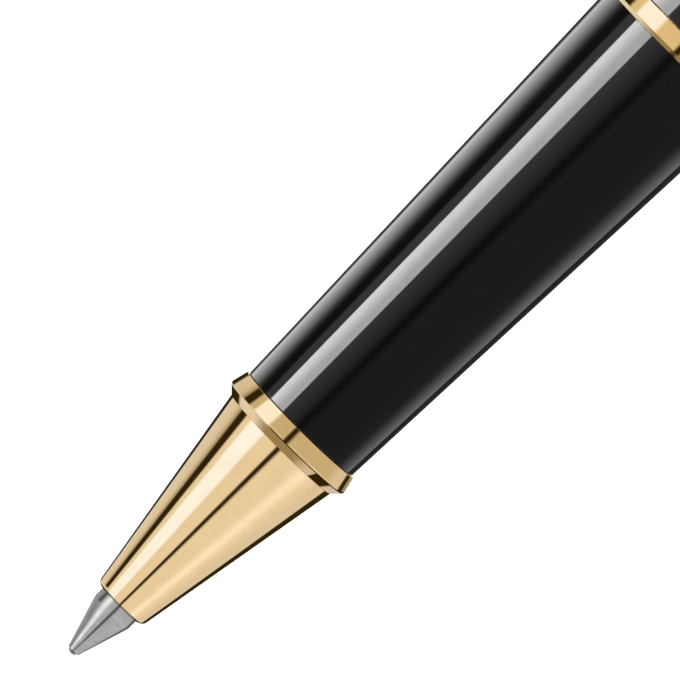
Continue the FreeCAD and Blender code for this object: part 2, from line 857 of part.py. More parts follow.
def crown_screw():
    """Brass screw that draws the crown, the clip ring and the shell together."""
    body = piece("crown_screw", clip_ring_at - size.cap_top_wall - size.stud_head_length)
    end = size.stud_head_length + size.cap_top_wall + size.clip_ring_length + size.stud_reach
    turn(
        body,
        [
            (ZERO, ZERO),
            (size.stud_head_radius, ZERO),
            (size.stud_head_radius, size.stud_head_length),
            (size.stud_radius, size.stud_head_length),
            (size.stud_radius, end),
            (ZERO, end),
        ],
    )


def crown():
    body = piece("crown", crown_at)
    seat = size.crown_length - size.inlay_depth
    turn(
        body,
        [
            (size.stud_radius, ZERO),
            (size.crown_radius, ZERO),
            (size.crown_radius, size.crown_shoulder, size.crown_dome),
            (size.inlay_radius, size.crown_length),
            (size.inlay_radius, seat),
            (ZERO, seat),
            (ZERO, size.stud_reach),
            (size.stud_radius, size.stud_reach),
        ],
    )


def crown_inlay():
    """Plain domed disc let into the crown."""
    body = piece("crown_inlay", crown_at + size.crown_length - size.inlay_depth)
    rise = size.inlay_rise
    dome = (size.inlay_radius * size.inlay_radius + rise * rise) / (rise * 2)
    turn(
        body,
        [
            (ZERO, ZERO),
            (size.inlay_radius, ZERO),
            (size.inlay_radius, size.inlay_depth, dome),
            (ZERO, size.inlay_depth + rise),
        ],
    )


PIECES = (
    refill_ball,
    refill_tip,
    refill_nose,
    refill_body,
    ink_wick,
    ink_reservoir,
    refill_end_plug,
    nose_cone,
    snap_ring,
    grip_section,
    thread_sleeve,
    joint_ring,
    barrel,
    barrel_insert,
    tail_ring,
    tail_cap,
    refill_spring,
    cap_lip_ring,
    cap_shell,
    cap_band,
    cap_liner,
    clip_ring,
    clip,
    crown_screw,
    crown,
    crown_inlay,
)


def check_and_write():
    """Stop on any failed object, then write one file for each piece."""
    document.recompute()
    failed = [
        item.Label
        for item in document.Objects
        if "Invalid" in item.State or "Error" in item.State
    ]
    if failed:
        raise RuntimeError("failed objects: " + ", ".join(failed))
    bodies = [item for item in document.Objects if item.TypeId == "PartDesign::Body"]
    for body in bodies:
        if body.Shape.isNull() or not body.Shape.isValid() or len(body.Shape.Solids) != 1:
            raise RuntimeError("bad shape: " + body.Label)
    os.makedirs("parts", exist_ok=True)
    for body in bodies:
        body.Shape.exportStep(os.path.join("parts", body.Label + ".step"))


for make in PIECES:
    make()
check_and_write()
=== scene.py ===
import cmath
import json
import math

import bpy
import numpy as np
from mathutils import Matrix, Vector

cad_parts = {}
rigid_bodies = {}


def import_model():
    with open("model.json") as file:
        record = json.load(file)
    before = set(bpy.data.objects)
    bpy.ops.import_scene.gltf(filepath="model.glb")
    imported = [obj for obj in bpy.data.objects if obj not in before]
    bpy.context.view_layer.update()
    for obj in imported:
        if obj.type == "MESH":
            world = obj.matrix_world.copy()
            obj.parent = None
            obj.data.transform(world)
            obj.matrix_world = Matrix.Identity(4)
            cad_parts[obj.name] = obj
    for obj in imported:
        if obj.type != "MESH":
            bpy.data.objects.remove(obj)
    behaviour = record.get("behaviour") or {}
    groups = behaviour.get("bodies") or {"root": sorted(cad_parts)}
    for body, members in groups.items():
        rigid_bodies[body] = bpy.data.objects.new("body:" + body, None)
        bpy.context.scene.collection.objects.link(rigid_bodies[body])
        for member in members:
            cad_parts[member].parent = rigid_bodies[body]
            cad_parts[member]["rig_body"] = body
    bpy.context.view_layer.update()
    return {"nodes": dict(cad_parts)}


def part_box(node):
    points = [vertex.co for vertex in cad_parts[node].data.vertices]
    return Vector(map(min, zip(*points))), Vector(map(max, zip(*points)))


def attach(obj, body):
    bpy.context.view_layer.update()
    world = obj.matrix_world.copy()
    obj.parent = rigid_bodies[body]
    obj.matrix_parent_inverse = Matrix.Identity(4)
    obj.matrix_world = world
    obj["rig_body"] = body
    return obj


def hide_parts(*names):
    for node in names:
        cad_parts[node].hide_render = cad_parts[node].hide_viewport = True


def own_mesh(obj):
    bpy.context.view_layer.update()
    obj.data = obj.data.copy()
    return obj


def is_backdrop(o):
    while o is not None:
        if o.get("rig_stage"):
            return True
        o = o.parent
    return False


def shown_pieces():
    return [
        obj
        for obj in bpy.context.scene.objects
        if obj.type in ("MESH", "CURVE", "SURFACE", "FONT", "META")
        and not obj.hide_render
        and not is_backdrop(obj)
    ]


# The rollerball pen's looks. Outlines are in millimetres from the pen's axis and its writing point,
# as (radius, height[, rounding]) corners that run anticlockwise, so outward is to their right.

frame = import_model()

MM = 0.001
AROUND = 256
AROUND_INSIDE = 128
ARC_STEP = math.radians(10)
SMOOTH_TURN = math.radians(4)
FINE_ROUND = 0.03
WEAR_REACH = 0.12
ON_AXIS = 1e-9
EDGE_SHARE = 0.95


# Reading the frame


def ends(node):
    """Lowest and highest height of a CAD node."""
    low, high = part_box(node)
    return low.z / MM, high.z / MM


def width(node):
    """Outer radius of a CAD node."""
    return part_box(node)[1].x / MM


# Turned and extruded shapes


def rounded(corners, default=FINE_ROUND):
    """Points of a closed outline with rounded corners, as (point, outward normal, wear).

    Wear is 1 on rounded outer edges, -1 in inner corners and 0 a little way off.
    """
    points = [complex(corner[0], corner[1]) for corner in corners]
    edges = [points[(index + 1) % len(points)] - point for index, point in enumerate(points)]
    turns, reaches = [], []
    for index, corner in enumerate(corners):
        turn = cmath.phase(edges[index] / edges[index - 1])
        kept_sharp = points[index].real < ON_AXIS or abs(turn) < SMOOTH_TURN
        radius = corner[2] if len(corner) > 2 else default
        turns.append(turn)
        reaches.append(0.0 if kept_sharp else radius * math.tan(abs(turn) / 2))
    result = []
    for index, here in enumerate(points):
        before, after = edges[index - 1], edges[index]
        into, out = before / abs(before), after / abs(after)
        if here.real < ON_AXIS:
            side = out if points[index - 1].real < ON_AXIS else into
            result.append((here, -1j * side, 0.0))
            continue
        if reaches[index] == 0.0:
            mean = into + out
            result.append((here, -1j * mean / abs(mean), 0.0))
            continue
        room = 1.0
        for edge, neighbour in ((before, reaches[index - 1]), (after, reaches[(index + 1) % len(points)])):
            room = min(room, EDGE_SHARE * abs(edge) / (reaches[index] + neighbour))
        turn, reach = turns[index], reaches[index] * room
        radius = reach / math.tan(abs(turn) / 2)
        start, end = here - into * reach, here + out * reach
        centre = start + 1j * into * math.copysign(radius, turn)
        steps = max(2, math.ceil(abs(turn) / ARC_STEP))
        if abs(before) / 2 - reach > WEAR_REACH:
            result.append((start - into * WEAR_REACH, -1j * into, 0.0))
        for step in range(steps + 1):
            swing = cmath.exp(1j * turn * step / steps)
            result.append((centre + (start - centre) * swing, -1j * into * swing, math.copysign(1.0, turn)))
        if abs(after) / 2 - reach > WEAR_REACH:
            result.append((end + out * WEAR_REACH, -1j * out, 0.0))
    return result


def make_piece(name, vertices, faces, normals=None, wear=None):
    """A smooth mesh object from millimetre vertices, with its own normals and wear where given."""
    mesh = bpy.data.meshes.new(name)
    mesh.from_pydata([tuple(vertex) for vertex in np.array(vertices) * MM], [], faces)
    mesh.polygons.foreach_set("use_smooth", [True] * len(mesh.polygons))
    worn = mesh.attributes.new("wear", "FLOAT", "POINT")
    if wear is not None:
        worn.data.foreach_set("value", np.array(wear, np.float32))
    if normals is not None:
        mesh.normals_split_custom_set_from_vertices([tuple(normal) for normal in normals])
    mesh.update()
    piece = bpy.data.objects.new(name, mesh)
    bpy.context.scene.collection.objects.link(piece)
    return piece


def turned(name, corners, around=AROUND):
    """A solid of revolution about the pen's axis."""
    outline = rounded(corners)
    vertices, normals, wear, rings = [], [], [], []
    angles = [2 * math.pi * index / around for index in range(around)]
    for point, normal, worn in outline:
        on_axis = point.real < ON_AXIS
        first = len(vertices)
        for angle in angles[:1] if on_axis else angles:
            cosine, sine = math.cos(angle), math.sin(angle)
            vertices.append((point.real * cosine, point.real * sine, point.imag))
            normals.append((normal.real * cosine, normal.real * sine, normal.imag))
            wear.append(worn)
        rings.append((first, on_axis))
    faces = []
    for index, (low, low_on_axis) in enumerate(rings):
        high, high_on_axis = rings[(index + 1) % len(rings)]
        if low_on_axis and high_on_axis:
            continue
        for side in range(around):
            after = (side + 1) % around
            if low_on_axis:
                faces.append((low, high + after, high + side))
            elif high_on_axis:
                faces.append((low + side, low + after, high))
            else:
                faces.append((low + side, low + after, high + after, high + side))
    return make_piece(name, vertices, faces, normals, wear)


def skinned(name, loops, wear=None):
    """A closed solid through loops of points, with a flat face at each end."""
    count = len(loops[0])
    vertices = [point for loop in loops for point in loop]
    faces = [tuple(range(count))[::-1]]
    for row in range(len(loops) - 1):
        low, high = row * count, (row + 1) * count
        for side in range(count):
            after = (side + 1) % count
            faces.append((low + side, low + after, high + after, high + side))
    faces.append(tuple(range(len(vertices) - count, len(vertices))))
    return make_piece(name, vertices, faces, wear=wear)


def arc(start, end, radius, steps=24):
    """Corners of the shorter arc between two points, bulging outward, without its end points."""
    first, last = complex(*start), complex(*end)
    chord = last - first
    to_left = 1j * chord / abs(chord)
    centre = (first + last) / 2 + to_left * math.sqrt(radius**2 - abs(chord) ** 2 / 4)
    sweep = cmath.phase((last - centre) / (first - centre))
    places = (centre + (first - centre) * cmath.exp(1j * sweep * k / steps) for k in range(1, steps))
    return [(place.real, place.imag) for place in places]


def stand_for(piece, node, body, finish):
    """Put a piece in a CAD node's place."""
    piece.data.materials.append(finish)
    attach(piece, body)
    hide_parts(node)
    return piece


# Finishes


class Finish:
    """A principled material in millimetre space, with short ways to add nodes."""

    def __init__(self, name, **settings):
        self.material = bpy.data.materials.new(name)
        self.material.use_nodes = True
        self.tree = self.material.node_tree
        self.shader = self.tree.nodes["Principled BSDF"]
        place = self.add("ShaderNodeTexCoord").outputs["Object"]
        self.place = self.vector("MULTIPLY", place, (1 / MM,) * 3)
        for name, value in settings.items():
            self.feed(self.shader.inputs[name.replace("_", " ")], value)

    def add(self, kind, **settings):
        node = self.tree.nodes.new("ShaderNode" + kind[len("ShaderNode"):])
        for name, value in settings.items():
            setattr(node, name, value)
        return node

    def feed(self, socket, value):
        if isinstance(value, bpy.types.NodeSocket):
            self.tree.links.new(value, socket)
        elif socket.type == "RGBA" and len(value) == 3:
            socket.default_value = (*value, 1)
        else:
            socket.default_value = value

    def math(self, operation, first, second=0.0, clamp=False):
        node = self.add("ShaderNodeMath", operation=operation, use_clamp=clamp)
        self.feed(node.inputs[0], first)
        self.feed(node.inputs[1], second)
        return node.outputs[0]

    def vector(self, operation, first, second):
        node = self.add("ShaderNodeVectorMath", operation=operation)
        self.feed(node.inputs[0], first)
        self.feed(node.inputs[1], second)
        return node.outputs["Vector"]

    def parts(self, vector):
        node = self.add("ShaderNodeSeparateXYZ")
        self.feed(node.inputs[0], vector)
        return node.outputs

    def cylinder_place(self):
        """(distance from the axis, angle, height) of the point."""
        x, y, z = self.parts(self.place)
        radius = self.math("SQRT", self.math("ADD", self.math("POWER", x, 2.0), self.math("POWER", y, 2.0)))
        node = self.add("ShaderNodeCombineXYZ")
        self.feed(node.inputs[0], radius)
        self.feed(node.inputs[1], self.math("ARCTAN2", x, y))
        self.feed(node.inputs[2], z)
        return node.outputs[0]

    def noise(self, size, place=None, detail=2.0, roughness=0.5, stretch=(1, 1, 1)):
        """Noise of the given grain in millimetres, drawn out along any axis with stretch above 1."""
        node = self.add("ShaderNodeTexNoise")
        self.feed(node.inputs["Vector"], self.vector("DIVIDE", place or self.place, stretch))
        node.inputs["Scale"].default_value = 1 / size
        node.inputs["Detail"].default_value = detail
        node.inputs["Roughness"].default_value = roughness
        return node.outputs[0]

    def spread(self, value, low, high, to_low=0.0, to_high=1.0, smooth=True):
        """Map a range of values to another."""
        node = self.add("ShaderNodeMapRange", interpolation_type="SMOOTHSTEP" if smooth else "LINEAR")
        for socket, number in zip(node.inputs[:5], (value, low, high, to_low, to_high)):
            self.feed(socket, number)
        return node.outputs[0]

    def mix(self, share, first, second):
        node = self.add("ShaderNodeMix", data_type="RGBA")
        self.feed(node.inputs[0], share)
        self.feed(node.inputs[6], first)
        self.feed(node.inputs[7], second)
        return node.outputs[2]

    def worn_edges(self, grain=0.9):
        """1 where a rounded edge has been handled, broken up by noise."""
        node = self.add("ShaderNodeAttribute", attribute_name="wear")
        handled = self.spread(node.outputs["Fac"], 0.1, 1.0)
        return self.math("MULTIPLY", handled, self.spread(self.noise(grain), 0.3, 0.75))

    def bump(self, height, depth):
        """Raise the surface by up to depth, in millimetres; several calls add up."""
        node = self.add("ShaderNodeBump")
        self.feed(node.inputs["Height"], height)
        node.inputs["Strength"].default_value = 1.0
        node.inputs["Distance"].default_value = depth * MM
        normal = self.shader.inputs["Normal"]
        if normal.links:
            self.feed(node.inputs["Normal"], normal.links[0].from_socket)
        self.feed(normal, node.outputs[0])

    def set(self, **values):
        for name, value in values.items():
            self.feed(self.shader.inputs[name.replace("_", " ")], value)


def black_resin():
    """Polished cast resin: nearly black, a little brown and green in its depth, faintly wavy."""
    finish = Finish("black_resin_finish", IOR=1.5)
    depth = finish.noise(4.0, stretch=(1, 1, 6), detail=3)
    colour = finish.mix(finish.spread(depth, 0.3, 0.7), (0.0022, 0.0021, 0.0016), (0.0032, 0.0031, 0.0028))
    dust = finish.spread(finish.noise(0.09, detail=1), 0.72, 0.78)
    colour = finish.mix(finish.math("MULTIPLY", dust, 0.25), colour, (0.05, 0.05, 0.048))
    edges = finish.worn_edges()
    colour = finish.mix(finish.math("MULTIPLY", edges, 0.5), colour, (0.02, 0.019, 0.017))
    smears = finish.spread(finish.noise(3.0, detail=4, stretch=(1, 1, 2)), 0.45, 0.75, 0.03, 0.065)
    hairlines = finish.noise(0.05, finish.cylinder_place(), stretch=(1, 0.6, 30), detail=2)
    polish = finish.spread(hairlines, 0.62, 0.72, 0.0, 0.03)
    roughness = finish.math("ADD", smears, finish.math("ADD", polish, finish.math("MULTIPLY", edges, 0.12)))
    mottle = finish.noise(0.22, finish.cylinder_place(), stretch=(1, 0.25, 4), detail=3, roughness=0.7)
    finish.set(Base_Color=colour, Roughness=roughness)
    finish.set(Specular_IOR_Level=finish.spread(mottle, 0.3, 0.7, 0.475, 0.525, smooth=False))
    finish.bump(finish.noise(2.6, detail=1, stretch=(1, 1, 3)), 0.0022)
    finish.bump(hairlines, 0.00003)
    return finish.material


def gold_plate():
    """Polished gold plate with faint turning marks and paler rubbed edges."""
    finish = Finish("gold_plate_finish", Metallic=1.0)
    around = finish.cylinder_place()
    cast = finish.spread(finish.noise(1.4, detail=3), 0.3, 0.7)
    colour = finish.mix(cast, (0.885, 0.640, 0.338), (0.915, 0.672, 0.368))
    edges = finish.worn_edges()
    colour = finish.mix(finish.math("MULTIPLY", edges, 0.3), colour, (0.95, 0.74, 0.47))
    marks = finish.noise(0.035, around, stretch=(1, 12, 1), detail=3)
    smears = finish.spread(finish.noise(0.9, detail=4), 0.4, 0.75, 0.035, 0.075)
    roughness = finish.math("ADD", smears, finish.math("MULTIPLY", edges, 0.04))
    finish.set(Base_Color=colour, Roughness=roughness)
    finish.bump(finish.noise(1.8, detail=1), 0.0005)
    finish.bump(marks, 0.00002)
    return finish.material


def tip_steel():
    """Satin steel, turned in fine steps."""
    finish = Finish("tip_steel_finish", Metallic=1.0)
    around = finish.cylinder_place()
    cast = finish.spread(finish.noise(0.5, detail=4), 0.3, 0.7)
    colour = finish.mix(cast, (0.60, 0.60, 0.60), (0.70, 0.70, 0.695))
    marks = finish.noise(0.04, around, stretch=(1, 8, 1), detail=4, roughness=0.7)
    spots = finish.spread(finish.noise(0.16, detail=3), 0.62, 0.72)
    colour = finish.mix(finish.math("MULTIPLY", spots, 0.25), colour, (0.42, 0.42, 0.42))
    colour = finish.mix(finish.math("MULTIPLY", finish.worn_edges(), 0.5), colour, (0.80, 0.80, 0.80))
    finish.set(Base_Color=colour, Roughness=finish.spread(marks, 0.3, 0.7, 0.11, 0.2))
    finish.bump(marks, 0.0004)
    return finish.material


def ball_carbide():
    """Ground tungsten carbide with fine sintered grain."""
    finish = Finish("ball_carbide_finish", Metallic=1.0)
    grain = finish.noise(0.02, detail=5, roughness=0.75)
    colour = finish.mix(finish.spread(grain, 0.35, 0.65), (0.16, 0.16, 0.165), (0.27, 0.27, 0.27))
    finish.set(Base_Color=colour, Roughness=finish.spread(grain, 0.3, 0.7, 0.18, 0.32))
    finish.bump(grain, 0.0008)
    return finish.material


def turned_brass():
    """Bare brass with bright turning marks and brown tarnish here and there."""
    finish = Finish("turned_brass_finish", Metallic=1.0)
    around = finish.cylinder_place()
    tarnish = finish.spread(finish.noise(1.6, detail=5), 0.45, 0.7)
    colour = finish.mix(tarnish, (0.80, 0.58, 0.27), (0.60, 0.40, 0.17))
    marks = finish.noise(0.07, around, stretch=(1, 10, 1), detail=4, roughness=0.6)
    turning = finish.spread(marks, 0.3, 0.7, 0.18, 0.34)
    roughness = finish.math("ADD", turning, finish.math("MULTIPLY", tarnish, 0.15))
    finish.set(Base_Color=colour, Roughness=roughness)
    finish.bump(marks, 0.0015)
    return finish.material


def refill_tube():
    """Brushed steel tube, drawn lengthwise."""
    finish = Finish("refill_tube_finish", Metallic=1.0)
    around = finish.cylinder_place()
    brushed = finish.noise(0.03, around, stretch=(1, 0.2, 60), detail=3)
    colour = finish.mix(finish.spread(brushed, 0.3, 0.7), (0.50, 0.50, 0.50), (0.62, 0.62, 0.61))
    stain = finish.spread(finish.noise(3.0, detail=5), 0.55, 0.8)
    colour = finish.mix(finish.math("MULTIPLY", stain, 0.3), colour, (0.40, 0.38, 0.35))
    finish.set(Base_Color=colour, Roughness=finish.spread(brushed, 0.3, 0.7, 0.26, 0.42))
    finish.bump(brushed, 0.0006)
    return finish.material


def moulded_plastic(name, dark, light, sheen_low, sheen_high):
    """Moulded plastic with a fine spark-eroded grain and slow colour variation."""
    finish = Finish(name, IOR=1.49)
    grain = finish.noise(0.11, detail=3)
    colour = finish.mix(finish.spread(finish.noise(2.5, detail=4), 0.3, 0.7), dark, light)
    edges = finish.worn_edges()
    paler = tuple(min(1.0, 1.4 * part + 0.03) for part in light)
    colour = finish.mix(finish.math("MULTIPLY", edges, 0.4), colour, paler)
    finish.set(Base_Color=colour, Roughness=finish.spread(grain, 0.3, 0.7, sheen_low, sheen_high))
    finish.bump(grain, 0.0035)
    return finish.material


def fibre():
    """Bonded fibre: pale lengthwise strands, stained by ink here and there."""
    finish = Finish("fibre_finish", Roughness=0.9)
    strands = finish.noise(0.07, detail=4, roughness=0.7, stretch=(1, 1, 14))
    colour = finish.mix(finish.spread(strands, 0.3, 0.7), (0.42, 0.41, 0.39), (0.80, 0.79, 0.76))
    ink = finish.spread(finish.noise(2.2, detail=5, stretch=(1, 1, 3)), 0.45, 0.7)
    colour = finish.mix(finish.math("MULTIPLY", ink, 0.8), colour, (0.012, 0.014, 0.03))
    finish.set(Base_Color=colour)
    finish.bump(strands, 0.02)
    return finish.material


def spring_wire():
    """Hard-drawn steel wire."""
    finish = Finish("spring_wire_finish", Metallic=1.0)
    grain = finish.noise(0.06, detail=4)
    colour = finish.mix(finish.spread(grain, 0.3, 0.7), (0.46, 0.46, 0.46), (0.66, 0.66, 0.65))
    finish.set(Base_Color=colour, Roughness=finish.spread(grain, 0.3, 0.7, 0.2, 0.36))
    finish.bump(grain, 0.0008)
    return finish.material


def refill_plastic():
    return moulded_plastic("refill_plastic_finish", (0.010, 0.010, 0.011), (0.018, 0.018, 0.019), 0.3, 0.45)


def liner_plastic():
    return moulded_plastic("liner_plastic_finish", (0.020, 0.020, 0.021), (0.032, 0.032, 0.033), 0.35, 0.5)


FINISHES = {
    "black_resin": black_resin(),
    "gold_plate": gold_plate(),
    "tip_steel": tip_steel(),
    "ball_carbide": ball_carbide(),
    "turned_brass": turned_brass(),
    "refill_tube": refill_tube(),
    "refill_plastic": refill_plastic(),
    "liner_plastic": liner_plastic(),
    "fibre": fibre(),
    "spring_wire": spring_wire(),
}


def finish_of_node(node):
    """The record's slot of a CAD node."""
    name = frame["nodes"][node].material_slots[0].material.name
    return name.split(".")[0]


def replace(node, corners, around=AROUND):
    """A finely turned piece in place of a CAD node."""
    slot = finish_of_node(node)
    body = frame["nodes"][node]["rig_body"]
    return stand_for(turned(node + "_fine", corners, around), node, body, FINISHES[slot])


# Grip section


def nose_cone():
    mouth, rear = ends("nose_cone")
    base = ends("snap_ring")[0]
    bore, mouth_radius, base_radius, spigot, cavity = 1.325, 1.67, 3.785, 3.2, 2.75
    bore_length, cavity_start = 3.5, 9.7
    replace("nose_cone", [
        (bore, mouth, 0.01),
        (mouth_radius, mouth, 0.38),
        (base_radius, base),
        (spigot, base),
        (spigot, rear),
        (cavity, rear),
        (cavity, mouth + cavity_start),
        (bore, mouth + bore_length),
    ])


def snap_ring():
    front, rear = ends("snap_ring")
    front_radius, widest, rear_radius, spigot, bevel = 3.785, 4.29, 4.045, 3.2, 0.51
    replace("snap_ring", [
        (spigot, front),
        (front_radius, front),
        (widest, front + bevel, 0.18),
        (rear_radius, rear, 0.05),
        (spigot, rear),
    ])


def grip_section():
    front, rear = ends("grip_section")
    front_radius, rear_radius, socket, bore, spigot = 3.915, 4.994, 4.0, 3.15, 3.2
    socket_floor = ends("thread_sleeve")[0]
    spigot_end = ends("nose_cone")[1]
    replace("grip_section", [
        (spigot, front),
        (front_radius, front, 0.08),
        (rear_radius, rear, 0.05),
        (socket, rear),
        (socket, socket_floor),
        (bore, socket_floor),
        (bore, spigot_end),
        (spigot, spigot_end),
    ])


def joint_ring():
    front, rear = ends("joint_ring")
    radius, bevel, socket = width("joint_ring"), 0.23, 4.0
    replace("joint_ring", [
        (socket, front),
        (radius - bevel, front),
        (radius, front + bevel, 0.05),
        (radius, rear, 0.04),
        (socket, rear),
    ])


# Barrel


def barrel():
    front, rear = ends("barrel")
    radius, tail_radius, straight, curve = width("barrel"), 4.6, 18.6, 1176.0
    insert, insert_depth, relief, relief_end, bore = 4.9, 9.6, 4.2, 12.6, 3.3
    socket, socket_floor = 3.9, ends("tail_cap")[0]
    replace("barrel", [
        (insert, front),
        (radius, front, 0.05),
        (radius, front + straight),
        *arc((radius, front + straight), (tail_radius, rear), curve),
        (tail_radius, rear, 0.08),
        (socket, rear),
        (socket, socket_floor),
        (bore, socket_floor),
        (bore, front + relief_end),
        (relief, front + relief_end),
        (relief, front + insert_depth),
        (insert, front + insert_depth),
    ])


def tail_ring():
    front, rear = ends("tail_ring")
    radius, bore = width("tail_ring"), 3.9
    replace("tail_ring", [(bore, front), (radius, front, 0.2), (radius, rear, 0.2), (bore, rear)])


def tail_cap():
    bottom, top = ends("tail_cap")
    base = ends("tail_ring")[1]
    radius, spigot, bore, bore_end, shoulder, blunt, dome = 4.5, 3.9, 3.2, 5.3, 2.2, 1.2, 6.2
    replace("tail_cap", [
        (bore, bottom),
        (spigot, bottom),
        (spigot, base),
        (radius, base, 0.12),
        (radius, base + shoulder),
        *arc((radius, base + shoulder), (blunt, top), dome),
        (blunt, top, 0.9),
        (0, top),
        (0, base + bore_end),
        (bore, base + bore_end),
    ])


def refill_spring():
    """Closely wound at each end and open between."""
    low, high = ends("refill_spring")
    radius, wire, turns, sides, steps = 2.4, 0.22, 7.0, 16, 640
    closed_turns = 1.0
    rise = high - low - 2 * wire
    closed_rise = 2 * wire * closed_turns
    loops = []
    for step in range(steps + 1):
        turn = turns * step / steps
        shares = (0, closed_turns, turns - closed_turns, turns)
        heights = (0, closed_rise, rise - closed_rise, rise)
        height = low + wire + float(np.interp(turn, shares, heights))
        angle = 2 * math.pi * turn
        along = Vector((-math.sin(angle), math.cos(angle), 0))
        across = Vector((math.cos(angle), math.sin(angle), 0))
        centre = across * radius + Vector((0, 0, height))
        up = across.cross(along)
        loop = []
        for side in range(sides):
            swing = 2 * math.pi * side / sides
            loop.append(centre + (across * math.cos(swing) + up * math.sin(swing)) * wire)
        loops.append(loop)
    piece = skinned("refill_spring_fine", loops)
    stand_for(piece, "refill_spring", "spring", FINISHES["spring_wire"])
    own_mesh(piece)


# Refill


def refill_tip():
    lip, rear = ends("refill_tip")
    ball, gap, channel, channel_top, wick = 0.35, 0.012, 0.14, 2.2, 0.55
    lip_radius, radius, cone_top, shoulder, stem = 0.37, width("refill_tip"), 3.13, 7.0, 1.0
    socket = ball + gap
    mouth = math.sqrt(socket**2 - (ball - lip) ** 2)
    seat = ball + math.sqrt(socket**2 - channel**2)
    cup_start, cup_end, cup_points = math.radians(50), math.radians(-20), 8
    cup = [
        (socket * math.cos(angle), ball + socket * math.sin(angle))
        for angle in np.linspace(cup_start, cup_end, cup_points)
    ]
    replace("refill_tip", [
        (lip_radius, lip, 0.02),
        (radius, cone_top, 0.06),
        (radius, shoulder, 0.1),
        (stem, shoulder),
        (stem, rear),
        (wick, rear),
        (wick, channel_top),
        (channel, channel_top),
        (channel, seat),
        *cup,
        (mouth, lip, 0.001),
    ])


def refill_nose():
    front, rear = ends("refill_nose")
    stem, radius, cone, flange, inside, wick = 1.0, 2.6, 6.4, width("refill_nose"), 2.65, 0.55
    tip_radius, stop = width("refill_tip"), ends("nose_cone")[1]
    tube = ends("refill_body")[0]
    stem_end = ends("refill_tip")[1]
    replace("refill_nose", [
        (stem, front),
        (tip_radius, front),
        (radius, front + cone, 0.4),
        (radius, stop),
        (flange, stop, 0.1),
        (flange, tube, 0.05),
        (inside, tube),
        (inside, rear, 0.1),
        (wick, rear),
        (wick, stem_end),
        (stem, stem_end),
    ], AROUND_INSIDE)


def refill_body():
    """Drawn tube, rolled in a shallow groove near each end."""
    front, rear = ends("refill_body")
    radius, bore, groove, depth, half = width("refill_body"), 2.65, 4.0, 0.1, 0.5

    def rolled(height):
        return [
            (radius - depth * (1 + math.cos(angle)) / 2, height + half * angle / math.pi)
            for angle in np.linspace(-math.pi, math.pi, 13)
        ]

    replace("refill_body", [
        (bore, front),
        (radius, front, 0.08),
        *rolled(front + groove),
        *rolled(rear - groove),
        (radius, rear, 0.08),
        (bore, rear),
    ], AROUND_INSIDE)


def refill_end_plug():
    """Plug with a vent hole."""
    front, rear = ends("refill_end_plug")
    tube = ends("refill_body")[1]
    inside, radius, chamfer, vent, vent_depth = 2.65, width("refill_end_plug"), 0.4, 0.5, 1.5
    replace("refill_end_plug", [
        (0, front),
        (inside, front, 0.1),
        (inside, tube),
        (radius, tube, 0.05),
        (radius, rear - chamfer, 0.1),
        (radius - chamfer, rear, 0.1),
        (vent, rear, 0.1),
        (vent, rear - vent_depth),
        (0, rear - vent_depth),
    ], AROUND_INSIDE)


def rod(node, rounding):
    """A plain fibre rod with softened ends."""
    front, rear = ends(node)
    radius = width(node)
    replace(node, [(0, front), (radius, front, rounding), (radius, rear, rounding), (0, rear)], AROUND_INSIDE)


# Cap


def cap_lip_ring():
    front, rear = ends("cap_lip_ring")
    radius, bore = width("cap_lip_ring"), 5.12
    replace("cap_lip_ring", [(bore, front, 0.15), (radius, front, 0.35), (radius, rear, 0.06), (bore, rear)])


def cap_shell():
    """Swelling tube with a seat for the band, closed at the top but for the screw's hole."""
    front, rear = ends("cap_shell")
    mouth_radius, top_radius, curve, bore, wall, hole = 6.2, 6.0, 900.0, 5.12, 1.0, 1.6
    band_front, band_rear = ends("cap_band")
    seat, clear_of_band = 5.85, 0.5
    bulge = arc((mouth_radius, front), (top_radius, rear), curve, steps=40)
    radii, heights = [point[0] for point in bulge], [point[1] for point in bulge]
    edges = [float(np.interp(height, heights, radii)) for height in (band_front, band_rear)]
    replace("cap_shell", [
        (bore, front),
        (mouth_radius, front, 0.08),
        *[point for point in bulge if front < point[1] < band_front - clear_of_band],
        (edges[0], band_front, 0.04),
        (seat, band_front),
        (seat, band_rear),
        (edges[1], band_rear, 0.04),
        *[point for point in bulge if point[1] > band_rear + clear_of_band],
        (top_radius, rear, 0.08),
        (hole, rear),
        (hole, rear - wall),
        (bore, rear - wall),
    ])


def cap_band():
    """Wide band with a fine shoulder at each edge."""
    front, rear = ends("cap_band")
    radius, seat, shoulder, step = width("cap_band"), 5.85, 0.35, 0.05
    replace("cap_band", [
        (seat, front),
        (radius - step, front, 0.04),
        (radius - step, front + shoulder, 0.02),
        (radius, front + shoulder + step, 0.05),
        (radius, rear - shoulder - step, 0.05),
        (radius - step, rear - shoulder, 0.02),
        (radius - step, rear, 0.04),
        (seat, rear),
    ])


def clip_ring():
    front, rear = ends("clip_ring")
    radius, bore = width("clip_ring"), 1.6
    replace("clip_ring", [(bore, front), (radius, front, 0.15), (radius, rear, 0.15), (bore, rear)])


def clip_lug():
    """Forked lug on the clip ring: two cheeks and a roof, drawn out from the ring."""
    front, rear = ends("clip_ring")
    reach, root, half, fork, roof, rounding = 7.75, 5.9, 1.8, 1.16, 151.18, 0.16
    outline = [
        (-half, front, 0.15),
        (-fork, front, 0.06),
        (-fork, roof, 0.1),
        (fork, roof, 0.1),
        (fork, front, 0.06),
        (half, front, 0.15),
        (half, rear, 0.3),
        (-half, rear, 0.3),
    ]
    lug = extruded("clip_lug_fine", rounded(outline), root, reach, rounding)
    stand_for(lug, "clip_ring", "cap", FINISHES["gold_plate"])


